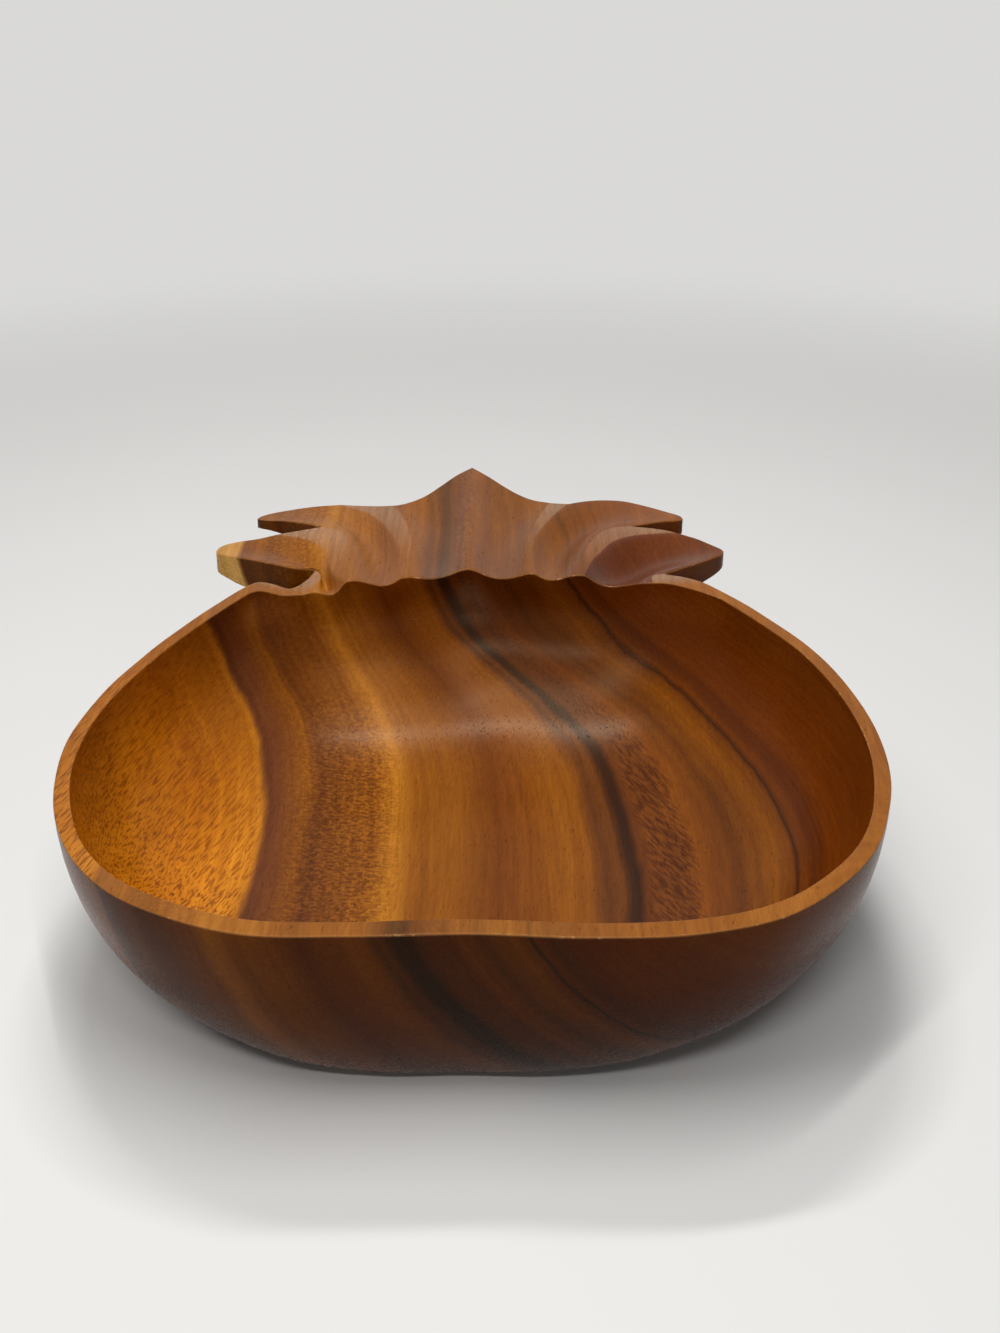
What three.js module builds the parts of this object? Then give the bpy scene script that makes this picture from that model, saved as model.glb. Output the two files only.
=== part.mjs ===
// Serving bowl in the shape of a pineapple, carved from one block of monkeypod wood.
// Millimetres, +Z up. The crown of leaves points along +Y and the bowl's front faces -Y.
// The origin lies under the middle of the whole length and width, on the surface that the bowl stands on.

import * as THREE from "three";

// Driving dimensions
const HEIGHT = 72; // flat foot to rim, which is one flat plane
const BODY_WIDTH = 280; // across the belly
const BODY_LENGTH = 258; // front edge to the back of the belly, where the crown begins
const CROWN_LENGTH = 134; // from there to the tip of the middle leaf
const CROWN_WIDTH = 223; // between the tips of the two lower leaves
const CROWN_OFFSET = -4.5; // the crown was carved a little left of the belly's middle
const WALL_FRONT = 7.3; // rim width at the front
const WALL_SIDE = 5.2; // rim width at the sides
const WALL_BACK = 7.3; // wall behind the hollow's edge, under the crown
const FLOOR_THICKNESS = 9;
const FOOT_WIDTH = 144;
const FOOT_LENGTH = 190;
const FOOT_FROM_FRONT = 125; // front edge to the middle of the foot
const FOOT_OFFSET = -5;
const LEAF_THICKNESS = 8; // at the crown's outline, thicker towards the bowl
const COVE_DROP = 14; // extra depth of the crown's underside where it sweeps into the wall
const COVE_REACH = 18;

// Shape numbers of the hollow, the outer wall and the foot: a higher number is fuller
const HOLLOW_FULLNESS = 4;
const WALL_FULLNESS = 2.2;
const WALL_ROUNDNESS = 1.6;
const FOOT_SQUARENESS = 3;

// Fineness of the facets
const RIM_COLUMNS = 76;
const LEAF_COLUMNS = 8;
const LAND_COLUMNS = 1;
const INSIDE_ROWS = 8;
const TOP_ROWS = 8;
const SIDE_ROWS = 2;
const UNDER_ROWS = 8;
const WALL_ROWS = 8;
const ROUNDS_OF_EVENING = 150;

// Plan of the belly at the rim, drawn at life size from the middle of its front edge [right, back].
// It runs from the right shoulder round the front to the left shoulder.
const BELLY = [
  [103, 236.5],
  [116, 213],
  [129, 184],
  [137.7, 147],
  [140, 110],
  [135.3, 76],
  [124.5, 46],
  [109, 25],
  [90, 9.7],
  [64, 1.6],
  [34, 0],
  [0, 1.8],
  [-34, 0.6],
  [-64, 1.6],
  [-89, 11],
  [-108, 24],
  [-124, 45],
  [-135.3, 75],
  [-140, 110],
  [-136, 147],
  [-125, 184],
  [-113.5, 212],
  [-102, 235.5],
];

// Plan of the crown, drawn at life size from the middle of its lower end [right, back].
// The necks join the belly's shoulders to the notches under the lower leaves.
const RIGHT_NECK = {
  outer: [
    [83.5, 1.5],
    [89.5, -1.2],
    [94, -5],
    [99.5, -10],
  ],
  turn: [93, -13.5], // steers the rim's inner edge round to the crown's first line
  run: 35, // length of the rim that the turn takes
  dip: { depth: 1.2, full: 0, fade: 15 }, // how the rim sinks into the leaf's hollow beside the notch
};
const LEFT_NECK = {
  outer: [
    [-91.5, -12],
    [-87.5, -6.6],
    [-81, -6.2],
    [-75.6, -7.8],
    [-72.3, -4.6],
    [-69.7, 0.8],
    [-66.3, 10.4],
  ],
  turn: [-85, -14],
  run: 45,
  dip: { depth: 3.8, full: 18, fade: 22 },
};

// Lines from the belly's hollow to the crown's outline part the top into gouged leaves and flat lands.
const FIRST_LINE = [
  [-69, -13],
  [-66.3, -6],
  [-63.9, 0],
  [-62.9, 5.2],
  [-64.4, 9.8],
  [-63.9, 11.1],
  [-66.3, 10.4],
];

// From left to right: each strip has its stretch of the crown's outline and the line that ends it.
// A leaf is a hollow whose depths are at the belly's hollow, halfway and at the outline. Its lean is 1 for
// an even round hollow, more for one that is steeper at its right side, negative for the left side.
// Its edge lists how thick it is at even steps along its outline, as shares of LEAF_THICKNESS.
const STRIPS = [
  {
    name: "lower left leaf",
    outline: [
      [-66.3, 10.4],
      [-74.4, 8.6],
      [-83.4, 10.8],
      [-91, 14.2],
      [-98.6, 17.8],
      [-106, 21],
      [-110.5, 23.6],
      [-111.5, 27],
      [-109.8, 32],
      [-104.5, 36],
      [-96, 39.4],
      [-86.6, 44.7],
    ],
    line: [
      [-51.5, -8.7],
      [-57, 0],
      [-60, 12],
      [-61.6, 20.9],
      [-64.1, 28.6],
      [-67.3, 34.6],
      [-72.8, 39.9],
      [-86.6, 44.7],
    ],
    depth: { start: 5, halfway: 7, outline: 0.4 },
    lean: 1.5,
    edge: [1, 1.5, 1.7, 1.2, 1, 1],
  },
  {
    name: "left land",
    outline: [
      [-86.6, 44.7],
      [-78, 48.5],
      [-67.1, 54],
    ],
    line: [
      [-49.5, -7.5],
      [-52, 12],
      [-53, 29],
      [-54.5, 42],
      [-58, 50.5],
      [-62, 53.3],
      [-67.1, 54],
    ],
  },
  {
    name: "upper left leaf",
    outline: [
      [-67.1, 54],
      [-75.5, 58],
      [-85.5, 61.5],
      [-94.5, 62.5],
      [-98.5, 65],
      [-95, 70],
      [-84.5, 76],
      [-72.5, 80.5],
      [-62, 82],
    ],
    line: [
      [-28, -4.2],
      [-28.6, 18],
      [-33.5, 40],
      [-40.2, 59],
      [-49, 73],
      [-62, 82],
    ],
    depth: { start: 3, halfway: 6, outline: 0.4 },
    lean: 1.5,
    edge: [1, 1, 0.6, 0.75, 1, 1],
  },
  {
    name: "left valley",
    outline: [
      [-62, 82],
      [-53.5, 80.7],
      [-42.5, 80],
      [-35, 81.3],
    ],
    line: [
      [-25.5, -3.7],
      [-24.5, 18],
      [-26, 40],
      [-29, 60],
      [-35, 81.3],
    ],
  },
  {
    name: "left half of the middle leaf",
    outline: [
      [-35, 81.3],
      [-31, 84],
      [-22.5, 94],
      [-15.5, 108],
      [-8, 123],
      [-0.5, 134],
    ],
    line: [
      [-0.5, 5],
      [-0.5, 134],
    ],
    depth: { start: 2.5, halfway: 5, outline: 0.3 },
    lean: 1,
  },
  {
    name: "right half of the middle leaf",
    outline: [
      [-0.5, 134],
      [8.5, 120],
      [15.5, 107.5],
      [22.5, 96],
      [29.5, 88],
      [37.5, 84.3],
    ],
    line: [
      [26, 0],
      [24.5, 20],
      [26.5, 42],
      [31, 64],
      [37.5, 84.3],
    ],
    depth: { start: 3.5, halfway: 5, outline: 0.3 },
    lean: 1,
  },
  {
    name: "right valley",
    outline: [
      [37.5, 84.3],
      [45.5, 83],
    ],
    line: [
      [28, -0.1],
      [27, 20],
      [29.5, 41],
      [36, 62],
      [45.5, 83],
    ],
  },
  {
    name: "upper right leaf",
    outline: [
      [45.5, 83],
      [53.5, 87],
      [63.5, 89],
      [72.5, 87.7],
      [81.5, 81.7],
      [90.5, 74],
      [97.5, 67],
      [97, 63],
      [89.5, 61],
      [82.5, 58.5],
      [73.5, 54.5],
    ],
    line: [
      [47.5, -1.5],
      [49.5, 14],
      [52, 28],
      [55.5, 40],
      [60.5, 49],
      [66.5, 53.4],
      [73.5, 54.5],
    ],
    depth: { start: 2.5, halfway: 6, outline: 0.4 },
    lean: -1.5,
  },
  {
    name: "right land",
    outline: [
      [73.5, 54.5],
      [81.5, 52.7],
      [88.5, 49.7],
      [93.5, 46],
    ],
    line: [
      [49.3, -1.8],
      [53.7, 14.8],
      [57.6, 22.7],
      [62.7, 33.4],
      [69.3, 40.1],
      [77, 43.8],
      [93.5, 46],
    ],
  },
  {
    name: "lower right leaf",
    outline: [
      [93.5, 46],
      [101.5, 40],
      [107.5, 33],
      [111.5, 27],
      [110.8, 23],
      [106.5, 18.5],
      [98.5, 11.5],
      [90.5, 6],
      [83.5, 1.5],
    ],
    line: [
      [78.5, -7],
      [77.8, -2.5],
      [79, 0.8],
      [83.5, 1.5],
    ],
    depth: { start: 4.2, halfway: 7, outline: 0.4 },
    lean: -1.5,
    edge: [1, 1, 0.8, 1.05, 1.2, 1],
  },
];

const hollowDepth = HEIGHT - FLOOR_THICKNESS;
const hollowMiddle = new THREE.Vector3(0, BODY_LENGTH / 2, 0);
const footMiddle = new THREE.Vector3(FOOT_OFFSET, FOOT_FROM_FRONT, 0);
const underDrop = LEAF_THICKNESS + COVE_DROP;

// Both plans are stretched from the size that they are drawn at to the driving dimensions.
const planBox = (points) =>
  new THREE.Box2().setFromPoints(points.map(([x, y]) => new THREE.Vector2(x, y)));
const drawnBelly = planBox(BELLY);
const drawnCrown = planBox(STRIPS.flatMap((strip) => strip.outline));
const DRAWN_BODY_LENGTH = 258;
const onBelly = ([x, y]) =>
  new THREE.Vector3(
    (x * BODY_WIDTH) / (drawnBelly.max.x - drawnBelly.min.x),
    (y * BODY_LENGTH) / DRAWN_BODY_LENGTH,
    0,
  );
const onCrown = ([x, y]) =>
  new THREE.Vector3(
    CROWN_OFFSET + (x * CROWN_WIDTH) / (drawnCrown.max.x - drawnCrown.min.x),
    BODY_LENGTH + (y * CROWN_LENGTH) / drawnCrown.max.y,
    0,
  );

// Smooth curve through plan points.
const curve = (points) => new THREE.CatmullRomCurve3(points);

// Rises smoothly from 0 to 1 as x goes from 0 to 1.
const ease = (x) => THREE.MathUtils.smoothstep(x, 0, 1);

// Point at u on the quadratic curve from a to c that is steered by b.
function bendPoint(a, b, c, u) {
  return a
    .clone()
    .multiplyScalar((1 - u) ** 2)
    .addScaledVector(b, 2 * u * (1 - u))
    .addScaledVector(c, u * u);
}

// Plan of a strip of the top as columns of points, from its inner and outer edge and its end lines.
function stripPlan(inner, outer, firstLine, lastLine) {
  const last = inner.length - 1;
  const [before, after] = [firstLine, lastLine].map((line) =>
    curve(line.map(onCrown)).getSpacedPoints(TOP_ROWS),
  );
  const columns = inner.map((_, c) => {
    const v = c / last;
    return before.map((_, r) => {
      const u = r / TOP_ROWS;
      return new THREE.Vector3()
        .addScaledVector(inner[c], 1 - u)
        .addScaledVector(outer[c], u)
        .addScaledVector(before[r], 1 - v)
        .addScaledVector(after[r], v)
        .addScaledVector(inner[0], -(1 - u) * (1 - v))
        .addScaledVector(inner[last], -(1 - u) * v)
        .addScaledVector(outer[0], -u * (1 - v))
        .addScaledVector(outer[last], -u * v);
    });
  });
  for (let round = 0; round < ROUNDS_OF_EVENING; round++) evenOut(columns);
  return columns;
}

// One round of the elliptic grid equations, which spread a strip's inner points so that no columns cross.
function evenOut(columns) {
  const half = (a, b) => b.clone().sub(a).multiplyScalar(0.5);
  for (let c = 1; c < columns.length - 1; c++) {
    const [before, here, after] = [columns[c - 1], columns[c], columns[c + 1]];
    for (let r = 1; r < TOP_ROWS; r++) {
      const across = half(before[r], after[r]);
      const along = half(here[r - 1], here[r + 1]);
      const twist = half(before[r - 1], after[r - 1]).sub(half(before[r + 1], after[r + 1]));
      here[r]
        .set(0, 0, 0)
        .addScaledVector(here[r - 1], across.lengthSq())
        .addScaledVector(here[r + 1], across.lengthSq())
        .addScaledVector(before[r], along.lengthSq())
        .addScaledVector(after[r], along.lengthSq())
        .addScaledVector(twist, across.dot(along))
        .multiplyScalar(0.5 / (across.lengthSq() + along.lengthSq()));
    }
  }
}

// Columns of the plain rim. A column is a run of plan points over the top, from the hollow's edge to the
// outline, with the drop of each below the rim's plane.
function rimColumns() {
  const CLOSER_AT_NOTCHES = 0.6;
  const outline = curve([
    ...RIGHT_NECK.outer.map(onCrown),
    ...BELLY.map(onBelly),
    ...LEFT_NECK.outer.map(onCrown),
  ]);
  const length = outline.getLength();
  const shares = Array.from({ length: RIM_COLUMNS + 1 }, (_, i) => {
    const even = i / RIM_COLUMNS;
    return even - (CLOSER_AT_NOTCHES * Math.sin(2 * Math.PI * even)) / (2 * Math.PI);
  });
  const outer = shares.map((share) => outline.getPointAt(share));
  const inner = shares.map((share, i) => {
    const along = outline.getTangentAt(share);
    const facingFront = Math.max(-along.x, 0);
    const wall = WALL_SIDE + (WALL_FRONT - WALL_SIDE) * facingFront ** 2;
    return outer[i].clone().add(new THREE.Vector3(along.y, -along.x, 0).multiplyScalar(wall));
  });
  const drops = shares.map(() => 0);
  const rightAway = shares.map((share) => share * length);
  const leftAway = shares.map((share) => (1 - share) * length);
  turnIn(inner, drops, RIGHT_NECK, onCrown(STRIPS.at(-1).line[0]), rightAway);
  turnIn(inner, drops, LEFT_NECK, onCrown(FIRST_LINE[0]), leftAway);
  return stripPlan(inner, outer, STRIPS.at(-1).line, FIRST_LINE)
    .slice(0, RIM_COLUMNS)
    .map((run, i) => ({ run, drops: run.map(() => drops[i]), thickness: LEAF_THICKNESS }));
}

// Turns the rim's inner edge in to meet the crown beside a notch, and sinks the rim there.
function turnIn(inner, drops, { turn, run, dip }, meet, away) {
  const nearest = Math.min(...away.filter((distance) => distance >= run));
  const far = inner[away.indexOf(nearest)];
  away.forEach((distance, i) => {
    drops[i] += dip.depth * (1 - ease((distance - dip.full) / dip.fade));
    if (distance < run) inner[i] = bendPoint(meet, onCrown(turn), far, (distance / run) ** 1.6);
  });
}

// Columns of the crown, over its gouged leaves and its lands.
function crownColumns() {
  const hollowEdge = curve([FIRST_LINE[0], ...STRIPS.map((strip) => strip.line[0])].map(onCrown));
  return STRIPS.flatMap((strip, s) => {
    const count = strip.depth ? LEAF_COLUMNS : LAND_COLUMNS;
    const inner = Array.from({ length: count + 1 }, (_, c) =>
      hollowEdge.getPoint((s + c / count) / STRIPS.length),
    );
    const outer = curve(strip.outline.map(onCrown)).getSpacedPoints(count);
    const firstLine = s > 0 ? STRIPS[s - 1].line : FIRST_LINE;
    const columns = stripPlan(inner, outer, firstLine, strip.line).slice(0, count);
    return columns.map((run, c) => {
      const v = c / count;
      const drops = run.map((_, r) => {
        const u = r / TOP_ROWS;
        const dipLeft = s === 0 ? notchDip(LEFT_NECK, u, v) : 0;
        const dipRight = s === STRIPS.length - 1 ? notchDip(RIGHT_NECK, u, 1 - v) : 0;
        return gouge(strip, u, v) + dipLeft + dipRight;
      });
      const thickness = LEAF_THICKNESS * edgeShare(strip.edge, v);
      return { run, drops, thickness, leftHalf: s < STRIPS.length / 2 };
    });
  });
}

// How far the rim's dip at a notch reaches into the leaf beside it, wide at the belly's hollow and narrow
// at the outline. v is the share of the leaf's width from the notch.
function notchDip({ dip }, u, v) {
  const fade = THREE.MathUtils.lerp(0.3, 0.07, u);
  return dip.depth * Math.exp(-((v / fade) ** 2)) * (1 - v);
}

// Share of the common thickness at v along a leaf's outline.
function edgeShare(edge = [1, 1], v) {
  const place = v * (edge.length - 1);
  const step = Math.min(Math.floor(place), edge.length - 2);
  return THREE.MathUtils.lerp(edge[step], edge[step + 1], ease(place - step));
}

// Depth of a leaf's hollow at u from the belly's hollow to the outline, and at v across it.
function gouge({ depth, lean }, u, v) {
  if (!depth) return 0;
  const steer = 2 * depth.halfway - (depth.start + depth.outline) / 2;
  const along = (1 - u) ** 2 * depth.start + 2 * u * (1 - u) * steer + u ** 2 * depth.outline;
  return along * Math.sin(Math.PI * (lean > 0 ? v : 1 - v) ** Math.abs(lean));
}

// Plan point at u along a run, and the length of a run.
function alongRun(run, u) {
  const place = u * TOP_ROWS;
  const row = Math.min(Math.floor(place), TOP_ROWS - 1);
  return run[row].clone().lerp(run[row + 1], place - row);
}
const runLength = (run) =>
  run.slice(1).reduce((sum, point, i) => sum + point.distanceTo(run[i]), 0);

// Plan point of the outer wall at a drop below the rim: it curves in from the wall's line to the foot.
function wallPoint(line, drop) {
  const direction = line.clone().sub(hollowMiddle).normalize();
  const reach =
    (Math.abs(direction.x) / (FOOT_WIDTH / 2)) ** FOOT_SQUARENESS +
    (Math.abs(direction.y) / (FOOT_LENGTH / 2)) ** FOOT_SQUARENESS;
  const foot = direction.multiplyScalar(reach ** (-1 / FOOT_SQUARENESS)).add(footMiddle);
  const share = (1 - Math.min(drop / HEIGHT, 1) ** WALL_FULLNESS) ** (1 / WALL_ROUNDNESS);
  return foot.lerp(line, share);
}

// All points of a column, from the floor of the hollow over the top and down the outside to the foot.
function columnPoints({ run, drops, thickness }) {
  const points = [];
  const put = (plan, drop) => points.push([plan.x, plan.y, -drop]);

  // hollow: a dish whose wall stands upright at the edge and rounds into the floor
  const lipAngle = Math.acos(drops[0] / hollowDepth);
  for (let i = 1; i < INSIDE_ROWS; i++) {
    const angle = (lipAngle * i) / INSIDE_ROWS;
    const out = Math.sin(angle) ** (2 / HOLLOW_FULLNESS);
    put(hollowMiddle.clone().lerp(run[0], out), hollowDepth * Math.cos(angle));
  }

  // top: the flat rim, or a strip of the crown
  run.forEach((plan, r) => put(plan, drops[r]));

  // side: a leaf's upright edge, or the top of the bowl's own wall
  const length = runLength(run);
  const wallAt = Math.min(WALL_BACK / length, 1);
  const wallLine = alongRun(run, wallAt);
  const overhang = length * (1 - wallAt);
  const FOLLOW = 3; // overhang over which the side stops following the wall's slope
  const shift = (drop) =>
    wallPoint(wallLine, drop).sub(wallLine).multiplyScalar(Math.exp(-overhang / FOLLOW));
  const underside = (out) => thickness + (underDrop - thickness) * Math.exp(-out / COVE_REACH);
  const sideDrop = underside(overhang);
  for (let i = 1; i <= SIDE_ROWS; i++) {
    const drop = THREE.MathUtils.lerp(drops.at(-1), sideDrop, i / SIDE_ROWS);
    put(run.at(-1).clone().add(shift(drop)), drop);
  }

  // underside: back under the leaf, and down in a cove to the wall
  const COVE_FOOT = 2;
  const meetDrop = underDrop + COVE_FOOT;
  const meetShift = wallPoint(wallLine, meetDrop).sub(wallLine);
  for (let i = 1; i <= UNDER_ROWS; i++) {
    const t = i / UNDER_ROWS;
    const plan = alongRun(run, 1 - (1 - wallAt) * t)
      .addScaledVector(shift(sideDrop), 1 - t)
      .addScaledVector(meetShift, t);
    put(plan, underside(overhang * (1 - t)) + COVE_FOOT * t);
  }

  // outer wall down to the foot
  const startAngle = Math.asin(meetDrop / HEIGHT);
  for (let i = 1; i <= WALL_ROWS; i++) {
    const drop = HEIGHT * Math.sin(THREE.MathUtils.lerp(startAngle, Math.PI / 2, i / WALL_ROWS));
    put(wallPoint(wallLine, drop), drop);
  }
  return points;
}

// The carved block as one closed skin over all columns, with the middles of the floor and foot as poles.
function carvedBlock() {
  const columns = [...rimColumns(), ...crownColumns()];
  const grid = columns.map(columnPoints);
  const rows = grid[0].length;
  const count = columns.length;
  const positions = [[hollowMiddle.x, hollowMiddle.y, -hollowDepth]];
  for (let row = 0; row < rows; row++) {
    grid.forEach((points) => positions.push(points[row]));
  }
  positions.push([footMiddle.x, footMiddle.y, -HEIGHT]);

  const outlineRow = INSIDE_ROWS - 1 + TOP_ROWS;
  const at = (row, column) => 1 + row * count + (column % count);
  const indices = [];
  for (let c = 0; c < count; c++) {
    indices.push(0, at(0, c + 1), at(0, c));
    for (let row = 0; row < rows - 1; row++) {
      const [a, b] = [at(row, c), at(row, c + 1)];
      const [d, e] = [at(row + 1, c), at(row + 1, c + 1)];
      const fromB = columns[c].leftHalf ? row < outlineRow : row >= outlineRow;
      indices.push(...(fromB ? [a, b, d, b, e, d] : [a, b, e, a, e, d]));
    }
    indices.push(at(rows - 1, c), at(rows - 1, c + 1), positions.length - 1);
  }

  const geometry = new THREE.BufferGeometry();
  geometry.setAttribute("position", new THREE.Float32BufferAttribute(positions.flat(), 3));
  geometry.setIndex(indices);
  geometry.translate(0, -(BODY_LENGTH + CROWN_LENGTH) / 2, HEIGHT);
  geometry.computeVertexNormals();
  return geometry;
}

const oiledWood = new THREE.MeshStandardMaterial({ color: 0x8f5620, roughness: 0.42, metalness: 0 });

const carvedBowl = new THREE.Mesh(carvedBlock(), oiledWood);
carvedBowl.name = "carved_bowl";

const group = new THREE.Group();
group.add(carvedBowl);

export default group;
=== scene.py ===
from math import radians

import bpy
import numpy as np
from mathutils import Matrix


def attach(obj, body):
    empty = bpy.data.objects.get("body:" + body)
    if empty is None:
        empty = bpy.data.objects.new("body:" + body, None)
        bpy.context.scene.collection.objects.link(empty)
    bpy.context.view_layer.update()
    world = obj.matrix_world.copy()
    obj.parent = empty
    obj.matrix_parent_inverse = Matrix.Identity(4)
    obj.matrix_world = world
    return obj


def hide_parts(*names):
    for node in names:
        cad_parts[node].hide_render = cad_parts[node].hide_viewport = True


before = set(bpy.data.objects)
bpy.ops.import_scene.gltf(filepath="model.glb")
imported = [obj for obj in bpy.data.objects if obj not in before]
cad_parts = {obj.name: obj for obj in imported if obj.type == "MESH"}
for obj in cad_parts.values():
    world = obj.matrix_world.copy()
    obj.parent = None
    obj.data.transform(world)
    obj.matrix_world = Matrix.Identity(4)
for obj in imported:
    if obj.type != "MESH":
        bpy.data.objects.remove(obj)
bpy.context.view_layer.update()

# Camera
# The bowl is seen from in front and above by an upright camera that is tipped down from level. Its lens and
# the long side of its film are in millimetres, its place in metres and its tilt in degrees.
LENS = 43.21
LONG_SIDE = 36
STAND = (0.0089, -0.5634, 0.341)
TIPPED_DOWN = 26.6
camera_data = bpy.data.cameras.new("camera")
camera_data.sensor_width = LONG_SIDE
camera_data.lens = LENS
camera = bpy.data.objects.new("camera", camera_data)
camera.location = STAND
camera.rotation_euler = (radians(90 - TIPPED_DOWN), 0, 0)
bpy.context.scene.collection.objects.link(camera)
bpy.context.scene.camera = camera


# Carved bowl
# One free-standing block of monkeypod: a dish is hollowed in a plank, the leaves of its crown are gouged,
# the outside is rounded down to a flat foot, and the wood is oiled and rubbed to a satin sheen by hand.

# Plan of its top
# The carver draws the rim and the crown of leaves on the plank and parts the crown by lines into gouged
# leaves and flat lands. Plans are in millimetres, from the middle of the bowl's front edge, [right, back].
BODY_LENGTH = 258
WHOLE_LENGTH = 392
HEIGHT = 72
CROWN_OFFSET = -4.5

BELLY = [
    (103, 236.5), (116, 213), (129, 184), (137.7, 147), (140, 110), (135.3, 76), (124.5, 46), (109, 25),
    (90, 9.7), (64, 1.6), (34, 0), (0, 1.8), (-34, 0.6), (-64, 1.6), (-89, 11), (-108, 24), (-124, 45),
    (-135.3, 75), (-140, 110), (-136, 147), (-125, 184), (-113.5, 212), (-102, 235.5),
]

# The crown is drawn from the middle of its own lower end. Along a neck's run the rim's inner edge turns in to
# the crown, drawn towards a turning point. The dip says how deep the rim sinks there, up to what length in
# full, and over what length it fades.
RIGHT_NECK = {
    "outline": [(83.5, 1.5), (89.5, -1.2), (94, -5), (99.5, -10)],
    "turn": (93, -13.5),
    "run": 35,
    "dip": (1.2, 0, 15),
}
LEFT_NECK = {
    "outline": [
        (-91.5, -12), (-87.5, -6.6), (-81, -6.2), (-75.6, -7.8), (-72.3, -4.6), (-69.7, 0.8), (-66.3, 10.4),
    ],
    "turn": (-85, -14),
    "run": 45,
    "dip": (3.8, 18, 22),
}
FIRST_LINE = [
    (-69, -13), (-66.3, -6), (-63.9, 0), (-62.9, 5.2), (-64.4, 9.8), (-63.9, 11.1), (-66.3, 10.4),
]

# A strip has its stretch of outline and the line that ends it. A leaf's depths are at the hollow, halfway
# and at the outline, its lean says which side is cut steeper, its edge lists how thick it is at even steps
# along its outline, as shares of the common thickness, and its crests say how widely they are rubbed round.
# The finish is rubbed thin by shares at the hollow and at the outline, and the same shares paint the top
# lighter, as painted light and sheen; below 0 it is oiled darker. A strip without depths is a flat land.
STRIPS = [
    {  # lower left leaf
        "outline": [
            (-66.3, 10.4), (-74.4, 8.6), (-83.4, 10.8), (-91, 14.2), (-98.6, 17.8), (-106, 21),
            (-110.5, 23.6), (-111.5, 27), (-109.8, 32), (-104.5, 36), (-96, 39.4), (-86.6, 44.7),
        ],
        "line": [
            (-51.5, -8.7), (-57, 0), (-60, 12), (-61.6, 20.9), (-64.1, 28.6), (-67.3, 34.6), (-72.8, 39.9),
            (-86.6, 44.7),
        ],
        "depth": (5, 7, 0.4),
        "lean": 1.5,
        "edge": (1, 1.5, 1.7, 1.2, 1, 1),
        "crests": (0.02, 0.12),
        "rubbed_and_lit": (0.45, 0.45),
    },
    {  # left land
        "outline": [(-86.6, 44.7), (-78, 48.5), (-67.1, 54)],
        "line": [
            (-49.5, -7.5), (-52, 12), (-53, 29), (-54.5, 42), (-58, 50.5), (-62, 53.3), (-67.1, 54),
        ],
    },
    {  # upper left leaf
        "outline": [
            (-67.1, 54), (-75.5, 58), (-85.5, 61.5), (-94.5, 62.5), (-98.5, 65), (-95, 70), (-84.5, 76),
            (-72.5, 80.5), (-62, 82),
        ],
        "line": [(-28, -4.2), (-28.6, 18), (-33.5, 40), (-40.2, 59), (-49, 73), (-62, 82)],
        "depth": (3, 6, 0.4),
        "lean": 1.5,
        "edge": (1, 1, 0.6, 0.75, 1, 1),
        "crests": (0.15, 0.12),
        "rubbed_and_lit": (0.5, 0.6),
    },
    {  # left valley
        "outline": [(-62, 82), (-53.5, 80.7), (-42.5, 80), (-35, 81.3)],
        "line": [(-25.5, -3.7), (-24.5, 18), (-26, 40), (-29, 60), (-35, 81.3)],
    },
    {  # left half of the middle leaf
        "outline": [(-35, 81.3), (-31, 84), (-22.5, 94), (-15.5, 108), (-8, 123), (-0.5, 134)],
        "line": [(-0.5, 5), (-0.5, 134)],
        "depth": (2.5, 5, 0.3),
        "lean": 1,
        "crests": (0.2, 0.5),
        "rubbed_and_lit": (0.3, 0.5),
    },
    {  # right half of the middle leaf
        "outline": [(-0.5, 134), (8.5, 120), (15.5, 107.5), (22.5, 96), (29.5, 88), (37.5, 84.3)],
        "line": [(26, 0), (24.5, 20), (26.5, 42), (31, 64), (37.5, 84.3)],
        "depth": (3.5, 5, 0.3),
        "lean": 1,
        "crests": (0.5, 0.2),
        "rubbed_and_lit": (0.3, 0.5),
    },
    {  # right valley
        "outline": [(37.5, 84.3), (45.5, 83)],
        "line": [(28, -0.1), (27, 20), (29.5, 41), (36, 62), (45.5, 83)],
    },
    {  # upper right leaf
        "outline": [
            (45.5, 83), (53.5, 87), (63.5, 89), (72.5, 87.7), (81.5, 81.7), (90.5, 74), (97.5, 67), (97, 63),
            (89.5, 61), (82.5, 58.5), (73.5, 54.5),
        ],
        "line": [
            (47.5, -1.5), (49.5, 14), (52, 28), (55.5, 40), (60.5, 49), (66.5, 53.4), (73.5, 54.5),
        ],
        "depth": (2.5, 6, 0.4),
        "lean": -1.5,
        "crests": (0.12, 0.15),
        "rubbed_and_lit": (0.45, 0.45),
    },
    {  # right land
        "outline": [(73.5, 54.5), (81.5, 52.7), (88.5, 49.7), (93.5, 46)],
        "line": [
            (49.3, -1.8), (53.7, 14.8), (57.6, 22.7), (62.7, 33.4), (69.3, 40.1), (77, 43.8), (93.5, 46),
        ],
    },
    {  # lower right leaf
        "outline": [
            (93.5, 46), (101.5, 40), (107.5, 33), (111.5, 27), (110.8, 23), (106.5, 18.5), (98.5, 11.5),
            (90.5, 6), (83.5, 1.5),
        ],
        "line": [(78.5, -7), (77.8, -2.5), (79, 0.8), (83.5, 1.5)],
        "depth": (4.2, 7, 0.4),
        "lean": -1.5,
        "edge": (1, 1, 0.8, 1.05, 1.2, 1),
        "crests": (0.12, 0.02),
        "rubbed_and_lit": (-0.1, -0.1),
    },
]

LAND_RUBBED_AND_LIT = (0.35, 1)
COMMON_EDGE = (1, 1)

RIM_COLUMNS = 300
LEAF_COLUMNS = 36
LAND_COLUMNS = 8
TOP_ROWS = 24
CURVE_STEPS = 24


def on_crown(points):
    """Moves points of the crown's plan to where the crown stands on the plank."""
    return np.array(points, float) + (CROWN_OFFSET, BODY_LENGTH)


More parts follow.
